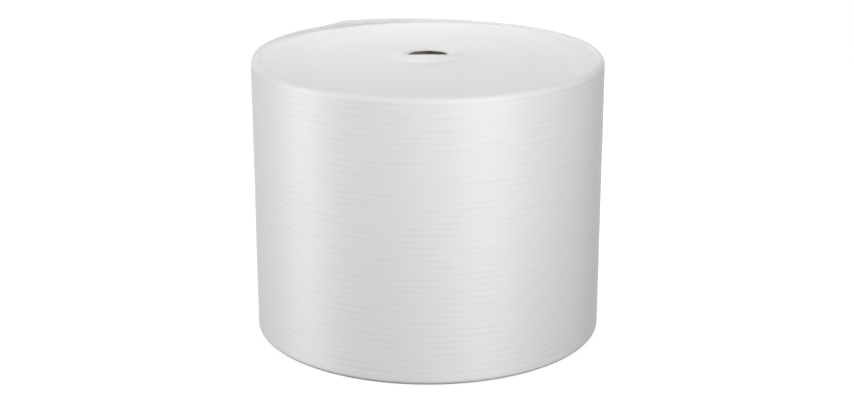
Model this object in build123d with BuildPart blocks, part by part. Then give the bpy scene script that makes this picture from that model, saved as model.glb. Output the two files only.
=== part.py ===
from build123d import *
import os
from math import cos, radians, sin

# Foam wrap roll standing on its end: a long web of white ribbed foam wound on a card core.
# Origin on the roll's axis at its base, +Z up the axis, millimetres.

# Driving dimensions of the wound foam
web_width = 500.0  # length of the roll, its height as it stands
roll_diameter = 627.0  # over the crests of the ribs
foam_thickness = 1.5  # one turn of the web
rim_radius = 9.0  # soft rounding where the side turns into an end
rim_facets = 2  # flats that the rounding is turned with
rib_pitch = 30.0  # each band stands for a few of the web's fine cross ribs
rib_depth = 1.6

# Band of turns wound a little deeper than the rest of the upper end
end_band_inset = 46.0  # from the rim's rounding in to the band
end_band_width = 68.0
end_band_depth = 1.5

# Inner turns pushed up round the core, higher at the front than at the back
collar_width = 25.0  # from the core out to the collar's foot
collar_height = 7.5
collar_crest = 6.0  # width of the crest
collar_edge = 3.0  # bevel from the crest down into the hole
collar_tilt = 6.6  # degrees, towards the back
collar_root = 8.0  # how far the collar's slope runs on below the end

# Last turn of the web: it ends at the back, and its edge stands proud there
tail_azimuth = 74.0  # degrees from +X, where the web ends
skew_arc = 92.0  # degrees of the last turn that stand proud of the end
skew_rise = 6.0  # how far its edge stands proud at the middle of that arc
skew_turns = 2  # turns that stand proud together
skew_inset = 0.5  # from the crests of the ribs in to the proud edge

# Card core
core_bore = 70.0
core_wall = 4.0
core_proud = 2.0  # its upper end stands above the foam's flat end
core_fit = 0.2  # radial clearance between core and foam

# Sizes worked out from the driving dimensions
roll_radius = roll_diameter / 2
core_radius = core_bore / 2 + core_wall
hole_radius = core_radius + core_fit
collar_radius = hole_radius + collar_width
rib_count = max(2, round((web_width - 2 * rim_radius) / rib_pitch))


def flat_direction(azimuth):
    """Unit vector in the base plane at an azimuth in degrees."""
    return Vector(cos(radians(azimuth)), sin(radians(azimuth)), 0)


def upright_plane(origin, azimuth):
    """Plane through origin that holds +Z and the direction at an azimuth."""
    direction = flat_direction(azimuth)
    return Plane(origin=origin, x_dir=direction, z_dir=direction.cross(Vector(0, 0, 1)))


def side_points(radius):
    """Half section of the roll at a radius: lower rim, ribs and upper rim, from base to top."""
    rim = []
    for step in range(rim_facets + 1):
        angle = radians(90 * step / rim_facets)
        rim.append((radius - rim_radius * (1 - sin(angle)), rim_radius * (1 - cos(angle))))
    ribs = []
    rib_spacing = (web_width - 2 * rim_radius) / (2 * rib_count)
    for step in range(1, 2 * rib_count):
        groove = rib_depth * (step % 2)
        ribs.append((radius - groove, rim_radius + step * rib_spacing))
    upper_rim = [(x, web_width - z) for x, z in reversed(rim)]
    return rim + ribs + upper_rim


# The web's spiral is drawn as two half turns on two centres half a thickness apart,
# so the outer half turn runs flush off the inner one and ends in a step at the tail
tail_direction = flat_direction(tail_azimuth)
outer_centre = foam_thickness / 2 * tail_direction
outer_radius = roll_radius + foam_thickness / 2
half_turns = (
    (Vector(0, 0, 0), roll_radius, tail_azimuth + 180),
    (outer_centre, outer_radius, tail_azimuth),
)

# Proud edge of the last turn, trimmed by a plane that falls away to both sides of its middle
proud_outside = outer_radius - skew_inset
proud_inside = proud_outside - skew_turns * foam_thickness
skew_direction = flat_direction(tail_azimuth + skew_arc / 2)
skew_slope = skew_rise / (proud_inside * (1 - cos(radians(skew_arc / 2))))

with BuildPart() as proud_edge:
    with BuildSketch(upright_plane(outer_centre, tail_azimuth)) as proud_section:
        with BuildLine() as proud_outline:
            Polyline(
                (proud_inside, web_width - rim_radius),
                (proud_outside, web_width - rim_radius),
                (proud_outside, web_width + 2 * skew_rise),
                (proud_inside, web_width + 2 * skew_rise),
                close=True,
            )
        make_face()
    revolve(axis=Axis(tuple(outer_centre), (0, 0, 1)), revolution_arc=skew_arc)
    skew_plane = Plane(
        origin=proud_inside * skew_direction + Vector(0, 0, web_width + skew_rise),
        z_dir=Vector(0, 0, 1) - skew_slope * skew_direction,
    )
    split(bisect_by=skew_plane, keep=Keep.BOTTOM)

# Wound foam: every turn in one solid, round an open hole for the core
with BuildPart() as foam_roll:
    for centre, radius, start_azimuth in half_turns:
        with BuildSketch(upright_plane(centre, start_azimuth)) as half_section:
            with BuildLine() as half_outline:
                Polyline((0, 0), *side_points(radius), (0, web_width), close=True)
            make_face()
        revolve(axis=Axis(tuple(centre), (0, 0, 1)), revolution_arc=180)
    add(proud_edge.part)

    # Deeper band of turns on the upper end
    band_radius = roll_radius - rim_radius - end_band_inset
    with BuildSketch(Plane.XY.offset(web_width)) as end_band:
        Circle(band_radius)
        Circle(band_radius - end_band_width, mode=Mode.SUBTRACT)
    extrude(amount=-end_band_depth, mode=Mode.SUBTRACT)

    # Collar of inner turns, turned about an axis that leans to the back
    lean = radians(collar_tilt)
    collar_plane = Plane(
        origin=(0, 0, web_width),
        x_dir=(1, 0, 0),
        z_dir=(0, -cos(lean), sin(lean)),
    )
    with BuildSketch(collar_plane) as collar_section:
        crest_start = hole_radius + collar_edge
        crest_end = crest_start + collar_crest
        slope_run = (collar_radius - crest_end) / collar_height
        with BuildLine() as collar_outline:
            Polyline(
                (core_radius / 2, -collar_root),
                (hole_radius - collar_edge, collar_height - 2 * collar_edge),
                (crest_start, collar_height),
                (crest_end, collar_height),
                (collar_radius + slope_run * collar_root, -collar_root),
                close=True,
            )
        make_face()
    revolve(axis=Axis((0, 0, web_width), (0, sin(lean), cos(lean))))

    # Hole that the core fills
    with BuildSketch(Plane.XY) as core_hole:
        Circle(hole_radius)
    extrude(amount=web_width + roll_radius, mode=Mode.SUBTRACT)
foam_roll.part.label = "foam_roll"

# Card core, level with the base and a little proud of the flat end, inside the collar
with BuildPart() as core_tube:
    with BuildSketch(Plane.XY) as core_section:
        Circle(core_radius)
        Circle(core_bore / 2, mode=Mode.SUBTRACT)
    extrude(amount=web_width + core_proud)
core_tube.part.label = "core_tube"

os.makedirs("parts", exist_ok=True)
export_step(foam_roll.part, "parts/foam_roll.step")
export_step(core_tube.part, "parts/core_tube.step")
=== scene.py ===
"""Foam wrap roll standing on its end: ribbed white foam wound on a card core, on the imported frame."""

import logging
import math
from dataclasses import dataclass
from enum import Enum
from typing import ClassVar, Dict, List, Optional, Sequence, Tuple, Union

import bpy
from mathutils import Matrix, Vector

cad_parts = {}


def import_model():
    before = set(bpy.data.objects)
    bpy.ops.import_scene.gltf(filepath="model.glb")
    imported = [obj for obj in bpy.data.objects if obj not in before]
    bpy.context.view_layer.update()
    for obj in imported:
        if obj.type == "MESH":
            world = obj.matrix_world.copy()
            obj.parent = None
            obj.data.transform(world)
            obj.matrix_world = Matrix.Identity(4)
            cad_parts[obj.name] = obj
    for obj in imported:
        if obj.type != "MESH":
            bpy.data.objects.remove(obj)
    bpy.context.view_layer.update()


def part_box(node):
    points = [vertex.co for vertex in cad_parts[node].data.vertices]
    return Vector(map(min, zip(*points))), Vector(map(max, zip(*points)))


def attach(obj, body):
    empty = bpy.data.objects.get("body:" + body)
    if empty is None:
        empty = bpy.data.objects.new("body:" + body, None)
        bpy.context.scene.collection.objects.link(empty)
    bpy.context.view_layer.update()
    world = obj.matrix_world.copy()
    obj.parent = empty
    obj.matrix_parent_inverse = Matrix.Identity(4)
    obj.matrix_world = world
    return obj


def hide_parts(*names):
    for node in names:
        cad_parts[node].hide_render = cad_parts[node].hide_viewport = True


log = logging.getLogger("foam_wrap_roll")

# Lengths are in metres and angles in radians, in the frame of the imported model
PHOTO_WIDTH = 854
FULL_TURN = 2.0 * math.pi
TAIL_AZIMUTH = math.radians(74.0)
LAST_SHEET_ARC = math.radians(126.0)
CORE_PROUD = 0.002
CORE_FIT = 0.0002
MERGE_DISTANCE = 0.00001
SHARP_ANGLE = math.radians(55.0)
WHITE = (1.0, 1.0, 1.0, 1.0)

Colour = Tuple[float, float, float, float]
Operand = Union["Value", float, int]
Source = Union["Value", bpy.types.NodeSocket, float, int, str, bool, Sequence[float]]
Settings = Optional[Dict[str, object]]
Inputs = Optional[Dict[Union[str, int], Source]]


class Value:
    """One number socket of a node tree, which takes part in Python arithmetic."""

    def __init__(self, board: "NodeBoard", socket: bpy.types.NodeSocket) -> None:
        """Wraps a socket of the board's tree."""
        self.board = board
        self.socket = socket

    def __add__(self, other: Operand) -> "Value":
        """Sum of two values."""
        return self.board.math("ADD", self, other)

    def __radd__(self, other: Operand) -> "Value":
        """Sum with the number in front."""
        return self.board.math("ADD", other, self)

    def __sub__(self, other: Operand) -> "Value":
        """Difference of two values."""
        return self.board.math("SUBTRACT", self, other)

    def __rsub__(self, other: Operand) -> "Value":
        """Difference with the number in front."""
        return self.board.math("SUBTRACT", other, self)

    def __mul__(self, other: Operand) -> "Value":
        """Product of two values."""
        return self.board.math("MULTIPLY", self, other)

    def __rmul__(self, other: Operand) -> "Value":
        """Product with the number in front."""
        return self.board.math("MULTIPLY", other, self)

    def __truediv__(self, other: Operand) -> "Value":
        """Quotient of two values."""
        return self.board.math("DIVIDE", self, other)

    def __rtruediv__(self, other: Operand) -> "Value":
        """Quotient with the number in front."""
        return self.board.math("DIVIDE", other, self)

    def __pow__(self, other: Operand) -> "Value":
        """Power of a value."""
        return self.board.math("POWER", self, other)

    def __neg__(self) -> "Value":
        """Value with its sign turned."""
        return self.board.math("MULTIPLY", self, -1.0)

    def sine(self) -> "Value":
        """Sine of an angle."""
        return self.board.math("SINE", self)

    def cosine(self) -> "Value":
        """Cosine of an angle."""
        return self.board.math("COSINE", self)

    def absolute(self) -> "Value":
        """Value without its sign."""
        return self.board.math("ABSOLUTE", self)

    def floor(self) -> "Value":
        """Largest whole number that isn't above the value."""
        return self.board.math("FLOOR", self)

    def least(self, other: Operand) -> "Value":
        """Smaller of two values."""
        return self.board.math("MINIMUM", self, other)

    def most(self, other: Operand) -> "Value":
        """Larger of two values."""
        return self.board.math("MAXIMUM", self, other)

    def step(self, low: Operand, high: Operand) -> "Value":
        """Eases from 0 at low to 1 at high.

        Args:
            low: Where the step starts.
            high: Where it ends, above low.

        Returns:
            A value from 0 to 1.
        """
        settings = {"interpolation_type": "SMOOTHSTEP"}
        inputs = {"Value": self, "From Min": low, "From Max": high}
        return self.board.value("ShaderNodeMapRange", settings, inputs)


@dataclass(frozen=True)
class Span:
    """Stretch over which something eases in from 0 to 1."""

    start: float
    end: float

    def ease(self, number: float) -> float:
        """Share at a plain number, where the end may also lie below the start."""
        share = min(1.0, max(0.0, (number - self.start) / (self.end - self.start)))
        return share * share * (3.0 - 2.0 * share)

    def share(self, value: Value, origin: float = 0.0) -> Value:
        """Share at a value of a tree, with the stretch counted from an origin."""
        return value.step(origin + self.start, origin + self.end)


@dataclass(frozen=True)
class Grain:
    """Smooth noise: its rates along three numbers, its fixed seed and how many finer layers it has."""

    rates: Tuple[float, float, float]
    seed: float
    detail: float = 2.0


class NodeBoard:
    """A shader or geometry tree while it is built; its seed is added to the seed of each noise."""

    seed: Operand = 0.0

    def __init__(self, tree: bpy.types.NodeTree) -> None:
        """Starts on a tree, which may hold nodes already."""
        self.tree = tree

    def feed(self, socket: bpy.types.NodeSocket, source: Source) -> None:
        """Links a source to a socket, or sets a plain value on it.

        Args:
            socket: The input to fill.
            source: A value, another socket, or a number, colour, vector or name.
        """
        if isinstance(source, Value):
            source = source.socket
        if isinstance(source, bpy.types.NodeSocket):
            self.tree.links.new(source, socket)
        else:
            socket.default_value = source

    def fill(self, node: bpy.types.Node, inputs: Inputs) -> None:
        """Fills sockets of a node, by name or number."""
        for key, source in (inputs or {}).items():
            self.feed(node.inputs[key], source)

    def node(self, kind: str, settings: Settings = None, inputs: Inputs = None) -> bpy.types.Node:
        """Adds a node, sets its settings first and then fills its sockets.

        Args:
            kind: The node's type.
            settings: Attributes of the node.
            inputs: Values or links by socket name or number.

        Returns:
            The node.
        """
        node = self.tree.nodes.new(kind)
        for name, setting in (settings or {}).items():
            setattr(node, name, setting)
        self.fill(node, inputs)
        return node

    def value(
        self, kind: str, settings: Settings = None, inputs: Inputs = None, output: Union[str, int] = 0
    ) -> Value:
        """Adds a node as node() does and wraps one of its outputs."""
        return Value(self, self.node(kind, settings, inputs).outputs[output])

    def math(self, operation: str, *operands: Operand) -> Value:
        """Adds a Math node for one operation on its operands."""
        return self.value("ShaderNodeMath", {"operation": operation}, dict(enumerate(operands)))

    def vector(self, x: Source, y: Source, z: Source) -> bpy.types.NodeSocket:
        """Joins three numbers into a vector."""
        return self.node("ShaderNodeCombineXYZ", None, {0: x, 1: y, 2: z}).outputs[0]

    def parts(self, vector: bpy.types.NodeSocket) -> Tuple[Value, Value, Value]:
        """Splits a vector into its three numbers."""
        numbers = self.node("ShaderNodeSeparateXYZ", None, {0: vector}).outputs
        return Value(self, numbers["X"]), Value(self, numbers["Y"]), Value(self, numbers["Z"])

    def object_place(self) -> bpy.types.NodeSocket:
        """Place on the piece, in its own coordinates."""
        return self.node("ShaderNodeTexCoord").outputs["Object"]

    def turn_about_axis(self, x: Value, y: Value) -> Value:
        """Angle about the roll's axis, in turns."""
        return self.math("ARCTAN2", y, x) / FULL_TURN

    def noise(self, place: Sequence[Operand], grain: Grain) -> Value:
        """Adds smooth noise with a fixed seed.

        Args:
            place: The three numbers that it is read at.
            grain: Its rates, in blotches a metre where the numbers are in metres, seed and detail.

        Returns:
            A value from about 0 to 1, with its mean near 0.5.
        """
        spot = self.vector(*(number * rate for number, rate in zip(place, grain.rates)))
        seed = self.seed + grain.seed
        inputs = {"Vector": spot, "W": seed, "Scale": 1.0, "Detail": grain.detail, "Roughness": 0.5}
        return self.value("ShaderNodeTexNoise", {"noise_dimensions": "4D"}, inputs)

    def blend(self, share: Source, first: Source, second: Source) -> bpy.types.NodeSocket:
        """Mixes two colours.

        Args:
            share: How much of the second colour goes in.
            first: The colour at 0.
            second: The colour at 1.

        Returns:
            The mixed colour.
        """
        inputs = {0: share, 6: first, 7: second}
        return self.node("ShaderNodeMix", {"data_type": "RGBA"}, inputs).outputs[2]


class GeometryPlan(NodeBoard):
    """A Geometry Nodes tree with named inputs for its sizes, run once and turned into a plain mesh."""

    def __init__(self, name: str, sizes: Dict[str, float], material: bpy.types.Material) -> None:
        """Makes the tree and its inputs.

        Args:
            name: The tree's name.
            sizes: Named inputs, "Seed" among them; whole numbers become whole-number inputs.
            material: The finish that the result takes.
        """
        super().__init__(bpy.data.node_groups.new(name, "GeometryNodeTree"))
        self.values: Dict[str, object] = {**sizes, "Finish": material}
        face = self.tree.interface
        face.new_socket("Geometry", in_out="OUTPUT", socket_type="NodeSocketGeometry")
        face.new_socket("Geometry", in_out="INPUT", socket_type="NodeSocketGeometry")
        for size_name, size in sizes.items():
            kind = "NodeSocketInt" if isinstance(size, int) else "NodeSocketFloat"
            face.new_socket(size_name, in_out="INPUT", socket_type=kind)
        face.new_socket("Finish", in_out="INPUT", socket_type="NodeSocketMaterial")
        self.source = self.node("NodeGroupInput")
        self.seed = self.size("Seed")

    def size(self, name: str) -> Value:
        """One of the named inputs."""
        return Value(self, self.source.outputs[name])

    def close(self, geometry: bpy.types.NodeSocket) -> None:
        """Ends the tree in Realize Instances and Set Material.

        Args:
            geometry: The shape that the tree has made.
        """
        real = self.node("GeometryNodeRealizeInstances", None, {"Geometry": geometry})
        inputs = {"Geometry": real.outputs[0], "Material": self.source.outputs["Finish"]}
        dressed = self.node("GeometryNodeSetMaterial", None, inputs)
        self.node("NodeGroupOutput", None, {"Geometry": dressed.outputs[0]})

    def run(self, piece: bpy.types.Object, wall: float = 0.0) -> None:
        """Runs the tree on a piece and leaves it with a plain mesh and no modifier.

        Args:
            piece: The object whose mesh the tree starts from.
            wall: Thickness that the result gets on its inner side, or 0 where it is closed already.
        """
        modifier = piece.modifiers.new(self.tree.name, "NODES")
        modifier.node_group = self.tree
        for item in self.tree.interface.items_tree:
            if item.in_out == "INPUT" and item.name in self.values:
                modifier[item.identifier] = self.values[item.name]
        if wall:
            solid = piece.modifiers.new("wall", "SOLIDIFY")
            solid.thickness = wall
            solid.offset = -1.0
            solid.use_even_offset = True
        bpy.context.view_layer.update()
        evaluated = piece.evaluated_get(bpy.context.evaluated_depsgraph_get())
        mesh = bpy.data.meshes.new_from_object(evaluated)
        piece.modifiers.clear()
        mesh.materials.clear()
        mesh.materials.append(self.values["Finish"])
        piece.data = mesh
        mesh.name = piece.name
        mesh.set_sharp_from_angle(angle=SHARP_ANGLE)


class Zone(Enum):
    """Part of a section that one kind of relief belongs to."""

    SIDE = "side"
    END = "end"
    COLLAR = "collar"
    RIM = "rim"
    LIP = "lip"
    PULL = "pull"
    # Rows of the thin edge, whose inner face the finish paints in shade.
    EDGE = "edge"


@dataclass(frozen=True)
class SectionPoint:
    """One point of a piece's half section, with how strongly each kind of relief acts there."""

    radius: float
    height: float
    side: float = 0.0
    end: float = 0.0
    collar: float = 0.0
    rim: float = 0.0
    lip: float = 0.0
    pull: float = 0.0
    # edge: how much a point belongs to the thin edge, whose inner face the finish paints in shade.
    edge: float = 0.0


@dataclass
class TurnFields:
    """What a relief rule can read at each point of a turned grid."""

    plan: GeometryPlan
    turn: Value
    cosine: Value
    sine: Value
    radius: Value
    height: Value
    zone: Dict[Zone, Value]


@dataclass
class Relief:
    """How far a point moves from its section, and what the finish may read there."""

    outward: Operand
    upward: Operand
    # crest: what the finish greys the colour by, as painted shade in the rib grooves and on the thin edge.
    crest: Operand


@dataclass(frozen=True)
class RollSizes:
    """Sizes that all the pieces share, read from the frame."""

    radius: float
    width: float
    core_radius: float
    core_top: float
    hole_radius: float

    @classmethod
    def from_frame(cls) -> "RollSizes":
        """Reads the roll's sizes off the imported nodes.

        Returns:
            The shared sizes.
        """
        _, foam_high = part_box("foam_roll")
        _, core_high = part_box("core_tube")
        return cls(
            radius=foam_high.x,
            width=core_high.z - CORE_PROUD,
            core_radius=core_high.x,
            core_top=core_high.z,
            hole_radius=core_high.x + CORE_FIT,
        )


@dataclass
class TurnedPiece:
    """A piece made of rows along a half section and columns round the roll's axis.

    The fields that tree_sizes lists become named inputs of its tree.
    """

    tree_sizes: ClassVar[Tuple[str, ...]] = ("columns", "start", "sweep", "seed")
    sizes: RollSizes
    name: str = "turned_piece"
    node: str = "foam_roll"
    slot: str = "foam"
    columns: int = 144
    start: float = 0.0
    sweep: float = FULL_TURN
    seed: float = 0.0
    wall: float = 0.0

    def section(self) -> List[SectionPoint]:
        """Half section that is carried round the axis, with the outside on the right of its path."""
        raise NotImplementedError

    def inputs(self) -> Dict[str, float]:
        """Named inputs of the tree, such as Rib Pitch for rib_pitch."""
        return {name.replace("_", " ").title(): getattr(self, name) for name in self.tree_sizes}

    def relief(self, at: TurnFields) -> Relief:
        """Relief at every point of the grid."""
        raise NotImplementedError

    def section_sheet(self, points: Sequence[SectionPoint]) -> bpy.types.Object:
        """Makes the object that the tree starts from, with the section as loose points.

        Args:
            points: The section.

        Returns:
            The object, in the scene.
        """
        sheet = bpy.data.meshes.new(f"{self.name}_section")
        sheet.from_pydata([(point.radius, 0.0, point.height) for point in points], [], [])
        for zone in Zone:
            layer = sheet.attributes.new(zone.value, "FLOAT", "POINT")
            layer.data.foreach_set("value", [getattr(point, zone.value) for point in points])
        piece = bpy.data.objects.new(self.name, sheet)
        bpy.context.scene.collection.objects.link(piece)
        return piece

    def fields(self, plan: GeometryPlan) -> TurnFields:
        """Works out where each point of the grid is on the section and round the axis.

        Args:
            plan: The tree, whose own geometry is the section.

        Returns:
            The fields that the relief reads.
        """
        section = plan.source.outputs["Geometry"]
        rows = plan.size("Rows")
        index = plan.value("GeometryNodeInputIndex")
        column = (index / rows).floor()
        row = index - column * rows
        turn = column / plan.size("Columns")
        angle = plan.size("Start") + plan.size("Sweep") * turn
        place = plan.node("GeometryNodeInputPosition").outputs[0]
        sample = {"Geometry": section, "Value": place, "Index": row}
        spot = plan.node("GeometryNodeSampleIndex", {"data_type": "FLOAT_VECTOR"}, sample).outputs[0]
        radius, _, height = plan.parts(spot)
        zones = {}
        number = {"data_type": "FLOAT"}
        for zone in Zone:
            layer = plan.node("GeometryNodeInputNamedAttribute", number, {"Name": zone.value})
            sample = {"Geometry": section, "Value": layer.outputs["Attribute"], "Index": row}
            zones[zone] = plan.value("GeometryNodeSampleIndex", number, sample)
        return TurnFields(plan, turn, angle.cosine(), angle.sine(), radius, height, zones)

    def build(self, material: bpy.types.Material) -> bpy.types.Object:
        """Turns the section round the axis and adds the relief.

        Args:
            material: The finish of the piece.

        Returns:
            The finished object, at the origin.
        """
        points = self.section()
        piece = self.section_sheet(points)
        plan = GeometryPlan(f"{self.name}_turning", {"Rows": len(points), **self.inputs()}, material)
        grid_inputs = {"Vertices X": plan.size("Columns") + 1, "Vertices Y": plan.size("Rows")}
        grid = plan.node("GeometryNodeMeshGrid", None, grid_inputs).outputs["Mesh"]
        at = self.fields(plan)
        relief = self.relief(at)
        reach = at.radius + relief.outward
        moved = plan.vector(reach * at.cosine, reach * at.sine, at.height + relief.upward)
        marked = plan.node(
            "GeometryNodeStoreNamedAttribute",
            {"data_type": "FLOAT", "domain": "POINT"},
            {"Geometry": grid, "Name": "crest", "Value": relief.crest},
        ).outputs[0]
        move = {"Geometry": marked, "Position": moved}
        shaped = plan.node("GeometryNodeSetPosition", None, move).outputs[0]
        merge = {"Geometry": shaped, "Distance": MERGE_DISTANCE}
        merged = plan.node("GeometryNodeMergeByDistance", None, merge).outputs[0]
        plan.close(plan.node("GeometryNodeSetShadeSmooth", None, {"Geometry": merged}).outputs[0])
        plan.run(piece, self.wall)
        return piece

    def dress(self, piece: bpy.types.Object) -> None:
        """Hands the finished piece to the frame.

        Args:
            piece: The object that build() made.
        """
        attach(piece, "root")
        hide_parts(self.node)


@dataclass
class FoamSheet(TurnedPiece):
    """What the wound foam and its last turn share: the web's cross ribs and soft rims.

    At the front the upper rim is round, with a low lip. At the back the outer turns stand up there
    in a thin edge, whose rows are counted as shares of the rim, from 0 at the end to 1 at the side.
    """

    tree_sizes: ClassVar[Tuple[str, ...]] = TurnedPiece.tree_sizes + (
        "thickness", "edge_rise", "rib_pitch", "rib_depth", "rib_wander", "sag"
    )
    seed: float = 3.0
    thickness: float = 0.0015
    rim: float = 0.009
    rim_rows: int = 10
    lip: float = 0.0014
    edge_rise: float = 0.0014
    edge_dish: float = 0.0022
    edge_inset: float = 0.0018
    edge_span: Span = Span(0.45, 0.75)
    edge_lean: Span = Span(0.55, 1.05)
    back: Span = Span(0.3, 0.8)
    rib_pitch: float = 0.0111
    rib_depth: float = 0.00016
    rib_rows: int = 8
    rib_wander: float = 0.55
    wander_grain: Grain = Grain((2.4, 2.4, 38.0), 0.0, 1.0)
    patch_grain: Grain = Grain((6.0, 6.0, 60.0), 2.0)
    patch_span: Span = Span(0.28, 0.72)
    patch_least: float = 0.25
    patch_gain: float = 1.3
    sag: float = 0.0012
    sag_grain: Grain = Grain((1.1, 1.1, 5.5), 6.9)

    def back_share(self, at: TurnFields) -> Value:
        """How far a point is at the back of the roll, from 0 to 1."""
        return self.back.share(0.5 + 0.5 * at.sine)

    def lower_rim(self) -> List[SectionPoint]:
        """Round rim at the base.

        Returns:
            Its points, from the end to the side.
        """
        points = []
        for step in range(self.rim_rows):
            share = step / self.rim_rows
            angle = 0.5 * math.pi * share
            out = self.sizes.radius - self.rim * (1.0 - math.sin(angle))
            points.append(SectionPoint(out, self.rim * (1.0 - math.cos(angle)), share * share))
        return points

    def upper_rim(self) -> List[SectionPoint]:
        """Rim at the top, which is a low lip at the front and a thin edge at the back.

        Returns:
            Its points, from the side to the end.
        """
        points = []
        for step, low in reversed(list(enumerate(self.lower_rim()))):
            share = step / self.rim_rows
            high = self.sizes.width - low.height + self.lip * (1.0 - low.height / self.rim)
            edge = (self.edge_dish + self.edge_rise) * self.edge_span.ease(share)
            lift = (self.sizes.width - self.edge_dish + edge - high) / self.edge_rise
            thin = float(share > self.edge_span.start)
            reach = self.sizes.radius - self.edge_inset * (1.0 - self.edge_lean.ease(share))
            pull = thin * (reach - low.radius) / self.edge_rise
            # edge marks the thin edge, whose inner face the finish paints in shade.
            points.append(SectionPoint(low.radius, high, low.side, lip=lift, pull=pull, edge=thin))
        return points

    def side_points(self) -> List[SectionPoint]:
        """Rim, ribbed side and rim.

        Returns:
            The points, from the lower end to the upper.
        """
        straight = self.sizes.width - 2.0 * self.rim
        count = round(straight / self.rib_pitch) * self.rib_rows
        side = []
        for step in range(count + 1):
            side.append(SectionPoint(self.sizes.radius, self.rim + straight * step / count, 1.0))
        return self.lower_rim() + side + self.upper_rim()

    def ribs(self, at: TurnFields) -> Relief:
        """Fine, slightly uneven cross ribs round the roll, the soft sag of the side and the back's edge.

        Args:
            at: The fields of the grid.

        Returns:
            The relief of the side and its rims; its crest is lower in the grooves and below 0 on the thin
            edge, where the finish paints shade.
        """
        plan = at.plan
        side = at.zone[Zone.SIDE]
        place = (at.cosine, at.sine, at.height)
        wander = plan.noise(place, self.wander_grain) - 0.5
        phase = at.height / plan.size("Rib Pitch") + wander * plan.size("Rib Wander")
        patch = self.patch_span.share(plan.noise(place, self.patch_grain))
        strength = self.patch_least + self.patch_gain * patch
        groove = (1.0 - (phase * math.pi).sine().absolute()) * strength
        soft = plan.noise(place, self.sag_grain) - 0.5
        outward = (soft * plan.size("Sag") - groove * plan.size("Rib Depth")) * side
        back = self.back_share(at)
        edge = back * plan.size("Edge Rise")
        # Painted shade: crest is -1 on the thin edge at the back and lower in the grooves; the finish greys
        # the colour there.
        thin = back * at.zone[Zone.EDGE]
        crest = (1.0 - groove * side) * (1.0 - thin) - thin
        return Relief(outward + at.zone[Zone.PULL] * edge, at.zone[Zone.LIP] * edge, crest)

    def spiral(self, at: TurnFields, past_tail: Value) -> Value:
        """How far the web stands out of its first circle on the half turn that starts at its free end.

        Args:
            at: The fields of the grid.
            past_tail: Angle from the free end.

        Returns:
            One foam thickness at the free end, easing to nothing half a turn later.
        """
        eased = 0.5 + 0.5 * past_tail.least(math.pi).cosine()
        return eased * at.plan.size("Thickness")


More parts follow.
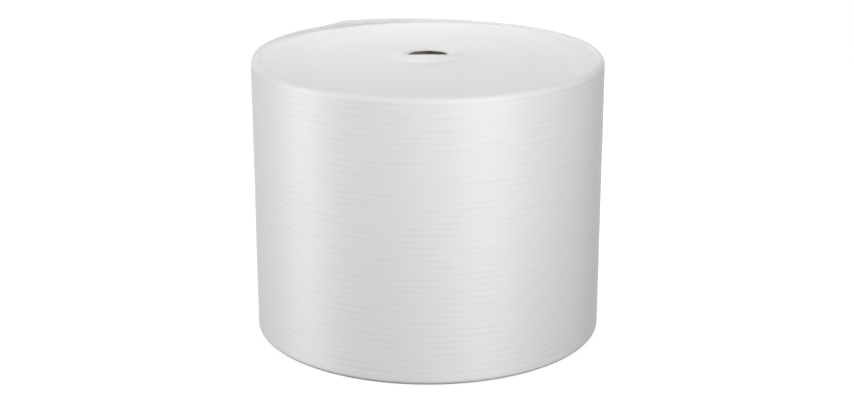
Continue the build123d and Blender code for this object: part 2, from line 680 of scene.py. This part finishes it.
@dataclass
class WoundFoam(FoamSheet):
    """All the turns of the web, with both ends, the collar of inner turns and the hole for the core."""

    tree_sizes: ClassVar[Tuple[str, ...]] = FoamSheet.tree_sizes + (
        "bundle_pitch", "bundle_depth", "band_play", "collar_front", "collar_uneven", "cover_arc"
    )
    name: str = "wound_foam"
    start: float = TAIL_AZIMUTH
    upper_rows: int = 150
    collar_rows: int = 28
    lower_rows: int = 80
    end_fade: float = 0.008
    bundle_pitch: float = 0.0048
    bundle_depth: float = 0.00016
    ring_grain: Grain = Grain((55.0, 0.35, 0.35), 10.0, 3.0)
    band_depth: float = 0.0012
    band_inside: Span = Span(0.1745, 0.2065)
    band_outside: Span = Span(0.2425, 0.2745)
    band_play: float = 0.0012
    lip_face: float = 0.0008
    lip_run: float = 0.03
    brow_place: float = 0.4
    brow_height: float = 0.9
    collar_height: float = 0.004
    collar_front: float = 0.0089
    collar_focus: float = 3.0
    collar_edge: float = 0.006
    collar_sill: float = 0.3
    collar_crest: float = 0.004
    collar_width: float = 0.025
    collar_uneven: float = 0.0016
    uneven_grain: Grain = Grain((1.6, 1.6, 144.0), 30.6)
    cover_arc: float = LAST_SHEET_ARC
    cover_ease: float = 0.7
    spiral_fade: float = 8.0

    def collar_share(self, radius: float) -> float:
        """Height of the collar at a radius, as a share of its crest.

        Args:
            radius: Distance from the axis.

        Returns:
            A number from 0 beyond its foot to 1 on its crest.
        """
        hole = self.sizes.hole_radius
        crest_start = hole + self.collar_edge
        if radius < crest_start:
            climb = math.sin(0.5 * math.pi * (radius - hole) / self.collar_edge)
            return self.collar_sill + (1.0 - self.collar_sill) * climb
        return 1.0 - Span(crest_start + self.collar_crest, hole + self.collar_width).ease(radius)

    def end_height(self, radius: float) -> float:
        """Height of the upper end over the base at a radius, before its relief."""
        dip = self.band_depth * (self.band_inside.ease(radius) - self.band_outside.ease(radius))
        return self.sizes.width - dip + self.collar_height * self.collar_share(radius)

    def upper_end(self, flat: float, foot: float) -> List[SectionPoint]:
        """Upper end from the lip to the collar's foot, dished below the thin edge at the back.

        Args:
            flat: Radius where the rim begins.
            foot: Radius of the collar's foot.

        Returns:
            The points, from the lip inwards.
        """
        brow_top = self.sizes.width + self.brow_height * self.lip
        drop = self.sizes.width - self.edge_dish - brow_top
        points = [SectionPoint(flat - self.brow_place * self.lip_face, brow_top, lip=drop / self.edge_rise)]
        inside = flat - self.lip_face
        for step in range(self.upper_rows + 1):
            out = inside + (foot - inside) * step / self.upper_rows
            fade = Span(flat, flat - self.end_fade).ease(out)
            dish = self.edge_dish * (1.0 - Span(inside, inside - self.lip_run).ease(out))
            points.append(SectionPoint(out, self.end_height(out), end=fade, lip=-dish / self.edge_rise))
        return points

    def section(self) -> List[SectionPoint]:
        """Lower end, side, upper end, collar and hole.

        Returns:
            The points, from the hole outwards and back.
        """
        hole = self.sizes.hole_radius
        flat = self.sizes.radius - self.rim
        foot = hole + self.collar_width
        points = []
        for step in range(self.lower_rows):
            out = hole + (flat - hole) * step / self.lower_rows
            points.append(SectionPoint(out, 0.0, end=-Span(flat, flat - self.end_fade).ease(out)))
        points += self.side_points() + self.upper_end(flat, foot)
        for step in range(1, self.collar_rows + 1):
            out = foot + (hole - foot) * step / self.collar_rows
            points.append(SectionPoint(out, self.end_height(out), end=1.0, collar=self.collar_share(out)))
        points.append(SectionPoint(hole, 0.0, end=-1.0))
        return points

    def relief(self, at: TurnFields) -> Relief:
        """Ribs on the side, turns on the ends and the lean of the collar.

        Args:
            at: The fields of the grid.

        Returns:
            The relief of the whole piece.
        """
        plan = at.plan
        ribs = self.ribs(at)
        past_tail = at.turn * FULL_TURN
        cover = plan.size("Cover Arc")
        covered = 1.0 - past_tail.step(cover * self.cover_ease, cover)
        spiral = self.spiral(at, past_tail) - covered * plan.size("Thickness")
        spread = (at.radius / self.sizes.radius) ** self.spiral_fade
        phase = at.radius / plan.size("Bundle Pitch") - at.turn
        bundle = 1.0 - (phase * math.pi).sine().absolute()
        play = plan.noise((at.radius, at.cosine, at.sine), self.ring_grain)
        sink = bundle * plan.size("Bundle Depth") + play * plan.size("Band Play")
        uneven = plan.noise((at.cosine, at.sine, at.radius), self.uneven_grain) - 0.5
        front = (0.5 - 0.5 * at.sine) ** self.collar_focus
        lean = front * plan.size("Collar Front") + uneven * plan.size("Collar Uneven")
        upward = ribs.upward + at.zone[Zone.COLLAR] * lean - at.zone[Zone.END] * sink
        return Relief(ribs.outward + spiral * spread, upward, ribs.crest)

    def dress(self, piece: bpy.types.Object) -> None:
        """Hands the foam to the frame."""
        super().dress(piece)


@dataclass
class LastTurn(FoamSheet):
    """The end of the web: one thickness of foam whose upper edge stands proud where it was wound skew."""

    tree_sizes: ClassVar[Tuple[str, ...]] = FoamSheet.tree_sizes + (
        "skew_arc", "skew_peak", "skew_fall", "skew_rise",
        "edge_stand", "corner", "free_lift", "free_arc", "tuck",
    )
    name: str = "last_turn"
    columns: int = 72
    start: float = TAIL_AZIMUTH
    sweep: float = LAST_SHEET_ARC
    wall: float = 0.0015
    rim_trim: int = 4
    thin_span: Span = Span(0.4, 0.55)
    upright_span: Span = Span(0.0, 0.05)
    upright_inset: float = 0.0003
    skew_arc: float = math.radians(92.0)
    skew_peak: float = math.radians(46.0)
    skew_fall: float = math.radians(11.0)
    skew_rise: float = 0.0069
    skew_curve: float = 1.25
    skew_left: float = 0.27
    skew_fade: float = 0.65
    skew_span: Span = Span(0.0, 0.55)
    edge_stand: float = 0.0022
    corner: float = 0.0014
    free_lift: float = 0.0022
    free_arc: float = math.radians(7.0)
    wave_grain: Grain = Grain((9.0, 0.0, 0.0), 28.0, 1.0)
    wave_least: float = 0.25
    wave_gain: float = 1.3
    tuck: float = 0.0011
    tuck_from: float = 0.72

    def section(self) -> List[SectionPoint]:
        """Lower rim, ribbed side and upper rim, each rim cut short.

        Returns:
            The points, from the lower rim to the upper.
        """
        top = self.sizes.width - self.rim
        points = []
        for point in self.side_points()[self.rim_trim:-self.rim_trim]:
            up = min(1.0, max(0.0, (point.height - top) / self.rim))
            thin = self.thin_span.ease(up)
            # The thin edge's rows, whose inner face the finish paints in shade.
            points.append(SectionPoint(point.radius, point.height, point.side, rim=up, edge=thin))
        return points

    def skew(self, at: TurnFields, past_tail: Value) -> Value:
        """How far the edge stands proud: it climbs from the free end, falls past its peak and fades out.

        Args:
            at: The fields of the grid.
            past_tail: Angle from the free end.

        Returns:
            A share of the skew's rise.
        """
        peak = at.plan.size("Skew Peak")
        arc = at.plan.size("Skew Arc")
        climb = (past_tail / peak).least(1.0) ** self.skew_curve
        fall = 1.0 - past_tail.step(peak, peak + at.plan.size("Skew Fall"))
        held = self.skew_left + (1.0 - self.skew_left) * fall
        return climb * held * (1.0 - past_tail.step(arc * self.skew_fade, arc))

    def relief(self, at: TurnFields) -> Relief:
        """Ribs, the spiral, the proud edge, the lifted free end and the other end tucked under.

        Args:
            at: The fields of the grid.

        Returns:
            The relief of the whole piece.
        """
        plan = at.plan
        ribs = self.ribs(at)
        past_tail = at.turn * self.sweep
        tuck = past_tail.step(self.sweep * self.tuck_from, self.sweep) * plan.size("Tuck")
        near = (1.0 - (past_tail / plan.size("Free Arc")).least(1.0)) ** 2.0
        waves = plan.noise((at.height, 0.0, 0.0), self.wave_grain)
        lift = near * plan.size("Free Lift") * (self.wave_least + self.wave_gain * waves)
        skew = self.skew(at, past_tail)
        back = self.back_share(at)
        rim = at.zone[Zone.RIM]
        upright = self.skew_span.share(skew).most(back) * self.upright_span.share(rim)
        straighten = (self.sizes.radius - self.upright_inset - at.radius) * upright
        edge = back * plan.size("Edge Stand") + near * plan.size("Corner")
        rise = (skew * plan.size("Skew Rise") + edge) * rim.step(0.0, 1.0)
        outward = ribs.outward + self.spiral(at, past_tail) - tuck + lift + straighten
        return Relief(outward, rise, ribs.crest)

    def dress(self, piece: bpy.types.Object) -> None:
        """Hands the last turn to the frame."""
        super().dress(piece)


@dataclass
class CardCore(TurnedPiece):
    """Spiral-wound card core with its plies showing on the cut ends."""

    tree_sizes: ClassVar[Tuple[str, ...]] = TurnedPiece.tree_sizes + ("ply_groove", "fray")
    name: str = "card_core"
    node: str = "core_tube"
    slot: str = "card"
    columns: int = 96
    seed: float = 246.0
    board: float = 0.004
    plies: int = 5
    ply_rows: int = 4
    ply_groove: float = 0.0003
    fray: float = 0.0003
    fray_grain: Grain = Grain((6.0, 6.0, 3600.0), 0.0, 3.0)
    wall_rows: int = 40

    def section(self) -> List[SectionPoint]:
        """Outer wall, upper end with its plies, inner wall and lower end.

        Returns:
            The points in order.
        """
        outside = self.sizes.core_radius
        top = self.sizes.core_top
        heights = [top * step / self.wall_rows for step in range(self.wall_rows + 1)]
        rows = self.ply_rows * self.plies
        cut = []
        for step in range(1, rows):
            groove = 0.5 + 0.5 * math.cos(FULL_TURN * step / self.ply_rows)
            cut.append((outside - self.board * step / rows, groove))
        points = [SectionPoint(outside, height) for height in heights]
        points += [SectionPoint(out, top, end=groove) for out, groove in cut]
        points += [SectionPoint(outside - self.board, height) for height in reversed(heights)]
        points += [SectionPoint(out, 0.0, end=-groove) for out, groove in reversed(cut)]
        points.append(SectionPoint(outside, 0.0))
        return points

    def relief(self, at: TurnFields) -> Relief:
        """Grooves between the plies and slightly frayed cut ends.

        Args:
            at: The fields of the grid.

        Returns:
            The relief of the cut ends.
        """
        plan = at.plan
        end = at.zone[Zone.END]
        fray = plan.noise((at.cosine, at.sine, at.radius), self.fray_grain)
        groove = end * (plan.size("Ply Groove") + fray * plan.size("Fray"))
        return Relief(0.0, -groove, 1.0 - end.absolute())


@dataclass(frozen=True)
class Finish:
    """A procedural finish; each kind writes its own nodes."""

    name: str = "finish"

    def paint(self, board: NodeBoard, shader: bpy.types.Node) -> None:
        """Adds the finish's nodes."""
        raise NotImplementedError

    def emboss(self, board: NodeBoard, height: Value, strength: float) -> bpy.types.NodeSocket:
        """Normal of a surface with a fine relief, whose height is in metres."""
        inputs = {"Height": height, "Distance": 1.0, "Strength": strength}
        return board.node("ShaderNodeBump", None, inputs).outputs[0]

    def make(self) -> bpy.types.Material:
        """Makes the material.

        Returns:
            The finished material.
        """
        material = bpy.data.materials.new(self.name)
        material.use_nodes = True
        material.node_tree.nodes.clear()
        board = NodeBoard(material.node_tree)
        shader = board.node("ShaderNodeBsdfPrincipled")
        board.node("ShaderNodeOutputMaterial", None, {"Surface": shader.outputs[0]})
        self.paint(board, shader)
        return material


@dataclass(frozen=True)
class FoamFinish(Finish):
    """White closed-cell foam: a satin skin of fine cells, with shade painted greyer into the grooves
    between the ribs, onto the top of the upper rim and onto the inner face of the thin edge at the back.

    Spans with "radius" in the name count from the roll's radius, those with "top" from its upper end.
    """

    name: str = "white_cell_foam"
    roll_radius: float = 0.3135
    roll_width: float = 0.5
    crest_colour: Colour = (0.86, 0.86, 0.862, 1.0)
    # Low end of the web's colour: random grey tone, and shade painted into the rib grooves and onto the
    # upper rim.
    grey_tone_and_groove_shade: Colour = (0.832, 0.835, 0.84, 1.0)
    # Painted shade on the inner face of the thin edge at the back.
    painted_edge_shade: Colour = (0.775, 0.775, 0.78, 1.0)
    crest_weight: float = 0.8
    mottle_weight: float = 0.5
    streak_weight: float = 0.6
    base_weight: float = 0.1
    roughness: float = 0.71
    mottle_roughness: float = 0.12
    fine_roughness: float = 0.1
    pearl: float = 0.24
    spread: float = 0.775
    spread_turn: float = 0.25
    grazing_tint: Colour = (0.4, 0.4, 0.4, 1.0)
    side_radius: Span = Span(-0.0075, -0.003)
    # Inner faces, inside the roll's radius, that the edge's painted shade is kept to.
    edge_shade_radius: Span = Span(0.0, 0.0003)
    # Where the top of the upper rim is painted greyer as shade.
    painted_rim_shade_radius: Span = Span(-0.011, -0.008)
    brow_top: Span = Span(-0.006, -0.002)
    sheen_base: Span = Span(0.002, 0.012)
    sheen_top: Span = Span(-0.007, 0.0005)
    mottle_grain: Grain = Grain((60.0, 60.0, 60.0), 120.0, 4.0)
    fine_grain: Grain = Grain((420.0, 420.0, 420.0), 1680.0)
    streak_grain: Grain = Grain((14.0, 14.0, 420.0), 6.0)
    cell_scale: float = 620.0
    cell_softness: float = 0.6
    turn_pitch: float = 0.0015
    turn_depth: float = 0.00012
    mottle_depth: float = 0.0003
    cell_depth: float = 0.00012
    streak_depth: float = 0.00022
    fine_depth: float = 0.00012
    bump: float = 0.7

    def paint(self, board: NodeBoard, shader: bpy.types.Node) -> None:
        """Cells, mottle, streaks along the web and the fine edges of the turns on the ends, with shade
        painted into the colour of the rib grooves, the top of the upper rim and the thin edge's inner face.

        Args:
            board: The material's tree.
            shader: The shader that the nodes feed.
        """
        place = board.object_place()
        spot = board.parts(place)
        x, y, z = spot
        radius = (x * x + y * y) ** 0.5
        on_side = self.side_radius.share(radius, self.roll_radius)
        edge_shade_inside = 1.0 - self.edge_shade_radius.share(radius, self.roll_radius)
        # Painted shade: the top of the upper rim is made greyer in colour.
        painted_rim_shade = self.brow_top.share(z, self.roll_width) * self.painted_rim_shade_radius.share(radius, self.roll_radius)
        sheen = self.sheen_base.share(z) * (1.0 - self.sheen_top.share(z, self.roll_width))

        crest = board.value("ShaderNodeAttribute", {"attribute_name": "crest"}, None, "Fac")
        mottle = board.noise(spot, self.mottle_grain) - 0.5
        fine = board.noise(spot, self.fine_grain) - 0.5
        streak = (board.noise(spot, self.streak_grain) - 0.5) * on_side
        cell_inputs = {"Vector": place, "Scale": self.cell_scale, "Smoothness": self.cell_softness}
        cells = board.value("ShaderNodeTexVoronoi", {"feature": "SMOOTH_F1"}, cell_inputs, "Distance")
        turns = radius / self.turn_pitch - board.turn_about_axis(x, y)

        # Painted shade: the web is greyer in the rib grooves, where crest is low; mottle and streaks add
        # random tone.
        level = crest * self.crest_weight + mottle * self.mottle_weight + streak * self.streak_weight
        level = (level + self.base_weight - painted_rim_shade).step(0.0, 1.0)
        web = board.blend(level, self.grey_tone_and_groove_shade, self.crest_colour)
        # Painted shade: the inner face of the thin edge at the back takes the greyer edge colour.
        colour = board.blend((-crest).step(0.0, 1.0) * edge_shade_inside, web, self.painted_edge_shade)
        end_depth = (turns * math.pi).sine().absolute() * self.turn_depth + mottle * self.mottle_depth
        height = (1.0 - on_side) * end_depth - cells * self.cell_depth
        height = height + streak * self.streak_depth + fine * self.fine_depth
        varied = mottle * self.mottle_roughness + fine * self.fine_roughness
        finish = {
            "Base Color": colour,
            "Metallic": on_side * sheen * self.pearl,
            "Roughness": self.roughness + varied,
            "Normal": self.emboss(board, height, self.bump),
            "Anisotropic": self.spread,
            "Anisotropic Rotation": self.spread_turn,
            "Specular IOR Level": 0.0,
            "Specular Tint": self.grazing_tint,
        }
        board.fill(shader, finish)


@dataclass(frozen=True)
class CardFinish(Finish):
    """Raw grey-brown board with fibres and the seams of its spiral plies, with light painted on as a paler
    left side.
    """

    name: str = "grey_brown_board"
    core_top: float = 0.502
    pale: Colour = (0.12, 0.106, 0.085, 1.0)
    # Painted light: the paler colour of the core's left side.
    painted_light_tone: Colour = (0.34, 0.31, 0.26, 1.0)
    dark: Colour = (0.035, 0.031, 0.026, 1.0)
    cut: Colour = (0.84, 0.80, 0.73, 1.0)
    painted_light_span: Span = Span(-0.016, 0.004)
    cut_top: Span = Span(-0.0015, -0.0007)
    cut_least: float = 0.75
    cut_gain: float = 0.35
    lead: float = 0.18
    seam_span: Span = Span(0.0, 0.03)
    level_span: Span = Span(0.2, 0.9)
    fibre_weight: float = 0.6
    cloud_weight: float = 0.5
    fleck_weight: float = 0.3
    seam_weight: float = 0.6
    fibre_grain: Grain = Grain((300.0, 300.0, 60.0), 3.0, 4.0)
    fleck_grain: Grain = Grain((900.0, 900.0, 900.0), 6300.0)
    cloud_grain: Grain = Grain((35.0, 35.0, 35.0), 280.0, 3.0)
    roughness: float = 0.82
    fibre_roughness: float = 0.2
    fibre_depth: float = 0.00018
    fleck_depth: float = 0.00006
    seam_depth: float = 0.0004
    bump: float = 0.8

    def paint(self, board: NodeBoard, shader: bpy.types.Node) -> None:
        """Fibres, flecks and spiral seams.

        Args:
            board: The material's tree.
            shader: The shader that the nodes feed.
        """
        spot = board.parts(board.object_place())
        x, y, z = spot
        seam_phase = z / self.lead + board.turn_about_axis(x, y)
        seam = 1.0 - self.seam_span.share((seam_phase * math.pi).sine().absolute())
        fibres = board.noise(spot, self.fibre_grain)
        flecks = board.noise(spot, self.fleck_grain)
        clouds = board.noise(spot, self.cloud_grain)

        level = fibres * self.fibre_weight + clouds * self.cloud_weight
        level = level + (flecks - 0.5) * self.fleck_weight - seam * self.seam_weight
        # Painted light: the core is paler towards its left side, below about x = -16 mm.
        painted_light_tone = board.blend(1.0 - self.painted_light_span.share(x), self.pale, self.painted_light_tone)
        skin = board.blend(self.level_span.share(level), self.dark, painted_light_tone)
        cut_end = self.cut_top.share(z, self.core_top) * (self.cut_least + self.cut_gain * fibres)
        height = fibres * self.fibre_depth + flecks * self.fleck_depth - seam * self.seam_depth
        finish = {
            "Base Color": board.blend(cut_end, skin, self.cut),
            "Roughness": self.roughness + (fibres - 0.5) * self.fibre_roughness,
            "Normal": self.emboss(board, height, self.bump),
        }
        board.fill(shader, finish)


@dataclass(frozen=True)
class Lamp:
    """A soft lamp beside the roll; its azimuth is in degrees, from the front towards the right."""

    name: str
    azimuth: float
    height: float
    distance: float
    width: float
    tall: float
    power: float


@dataclass
class Studio:
    """Camera at the photo's angle, white floor and surroundings, and soft lamps."""

    eye: Tuple[float, float, float] = (-0.0015, -2.937, 1.159)
    pitch: float = 0.309
    focal_pixels: float = 1688.0
    sensor_width: float = 36.0
    aim_height: float = 0.25
    ambient: float = 0.01
    floor_reach: float = 9.0
    floor_drop: float = 0.0005
    floor_white: float = 0.9
    floor_span: Span = Span(0.4, 0.8)
    floor_bounce: Colour = (0.16, 0.16, 0.16, 1.0)
    lamps: Tuple[Lamp, ...] = (
        Lamp("left_softbox", -82.0, 0.95, 2.4, 0.7, 0.6, 26.0),
        Lamp("left_low_softbox", -68.0, 0.4, 2.4, 0.7, 0.76, 5.4),
        Lamp("right_softbox", 30.0, 0.95, 2.4, 0.6, 0.6, 16.1),
        Lamp("front_softbox", 0.0, 1.6, 2.6, 1.2, 1.2, 18.5),
        Lamp("front_right_softbox", 45.0, 1.6, 2.6, 1.2, 1.2, 19.0),
        Lamp("top_softbox", 0.0, 2.2, 0.9, 1.2, 1.2, 4.4),
        Lamp("back_softbox", 183.5, 1.34, 1.2, 1.4, 1.4, 22.5),
        Lamp("right_back_softbox", 155.0, 0.28, 2.4, 0.9, 0.44, 21.0),
    )

    def build(self) -> bpy.types.Object:
        """Sets the camera, the lamps, the floor and the surroundings.

        Returns:
            The floor.
        """
        bpy.context.scene.view_settings.view_transform = "Standard"
        self.place_camera()
        for lamp in self.lamps:
            self.place_lamp(lamp)
        self.paint_world()
        return self.lay_floor()

    def place_camera(self) -> None:
        """Places the camera where the outline of the roll in the photo puts it."""
        data = bpy.data.cameras.new("photo_camera")
        data.sensor_fit = "HORIZONTAL"
        data.sensor_width = self.sensor_width
        data.lens = self.focal_pixels * self.sensor_width / PHOTO_WIDTH
        data.dof.use_dof = False
        camera = bpy.data.objects.new("photo_camera", data)
        camera.location = self.eye
        camera.rotation_euler = (0.5 * math.pi - self.pitch, 0.0, 0.0)
        bpy.context.scene.collection.objects.link(camera)
        bpy.context.scene.camera = camera

    def place_lamp(self, lamp: Lamp) -> None:
        """Places one soft lamp and turns it to the roll.

        Args:
            lamp: Its place, size and power.
        """
        data = bpy.data.lights.new(lamp.name, "AREA")
        data.shape = "RECTANGLE"
        data.size = lamp.width
        data.size_y = lamp.tall
        data.energy = lamp.power
        holder = bpy.data.objects.new(lamp.name, data)
        turn = math.radians(lamp.azimuth)
        place = Vector((math.sin(turn) * lamp.distance, -math.cos(turn) * lamp.distance, lamp.height))
        holder.location = place
        aim = Vector((0.0, 0.0, self.aim_height)) - place
        holder.rotation_euler = aim.to_track_quat("-Z", "Y").to_euler()
        holder.visible_camera = False
        bpy.context.scene.collection.objects.link(holder)

    def seen_white(self, board: NodeBoard) -> Value:
        """Share of a ray that shows the white surroundings: 1 for what is seen, mirrored or seen through.

        Args:
            board: The tree of the floor or the world.

        Returns:
            The share, 0 or 1.
        """
        path = board.node("ShaderNodeLightPath").outputs
        seen = Value(board, path["Is Camera Ray"]).most(Value(board, path["Is Glossy Ray"]))
        return seen.most(Value(board, path["Is Transmission Ray"]))

    def paint_world(self) -> None:
        """White surroundings that give a plain soft fill."""
        world = bpy.data.worlds.new("white_surroundings")
        world.use_nodes = True
        world.node_tree.nodes.clear()
        board = NodeBoard(world.node_tree)
        strength = self.ambient + (1.0 - self.ambient) * self.seen_white(board)
        light = board.node("ShaderNodeBackground", None, {"Color": WHITE, "Strength": strength})
        board.node("ShaderNodeOutputWorld", None, {"Surface": light.outputs[0]})
        bpy.context.scene.world = world

    def paint_floor(self) -> bpy.types.Material:
        """Makes the floor's white, a little greyer near the roll, which keeps the roll's soft shadow.

        Returns:
            The floor's material.
        """
        material = bpy.data.materials.new("white_floor")
        material.use_nodes = True
        material.node_tree.nodes.clear()
        board = NodeBoard(material.node_tree)
        place = board.object_place()
        away = board.value("ShaderNodeVectorMath", {"operation": "LENGTH"}, {0: place}, "Value")
        white = self.floor_white + (1.0 - self.floor_white) * self.floor_span.share(away)
        matte = board.node("ShaderNodeBsdfDiffuse", None, {"Color": self.floor_bounce})
        shown = white * self.seen_white(board)
        glow = board.node("ShaderNodeEmission", None, {"Color": WHITE, "Strength": shown})
        both = board.node("ShaderNodeAddShader", None, {0: matte.outputs[0], 1: glow.outputs[0]})
        board.node("ShaderNodeOutputMaterial", None, {"Surface": both.outputs[0]})
        return material

    def lay_floor(self) -> bpy.types.Object:
        """Lays the white floor.

        Returns:
            The floor.
        """
        reach = self.floor_reach
        mesh = bpy.data.meshes.new("floor")
        corners = [(-reach, -reach, 0.0), (reach, -reach, 0.0), (reach, reach, 0.0), (-reach, reach, 0.0)]
        mesh.from_pydata(corners, [], [(0, 1, 2, 3)])
        mesh.materials.append(self.paint_floor())
        floor = bpy.data.objects.new("floor", mesh)
        floor.location.z = -self.floor_drop
        bpy.context.scene.collection.objects.link(floor)
        return floor


def main() -> None:
    """Loads the frame, builds and dresses each piece, and sets the stage."""
    logging.basicConfig(level=logging.INFO, format="%(name)s: %(message)s")
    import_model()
    sizes = RollSizes.from_frame()
    foam = FoamFinish(roll_radius=sizes.radius, roll_width=sizes.width).make()
    card = CardFinish(core_top=sizes.core_top).make()
    for maker, finish in ((WoundFoam(sizes), foam), (LastTurn(sizes), foam), (CardCore(sizes), card)):
        piece = maker.build(finish)
        maker.dress(piece)
        log.info("%s: %d faces", piece.name, len(piece.data.polygons))
    floor = Studio().build()
    log.info("%s laid", floor.name)


if __name__ == "__main__":
    main()
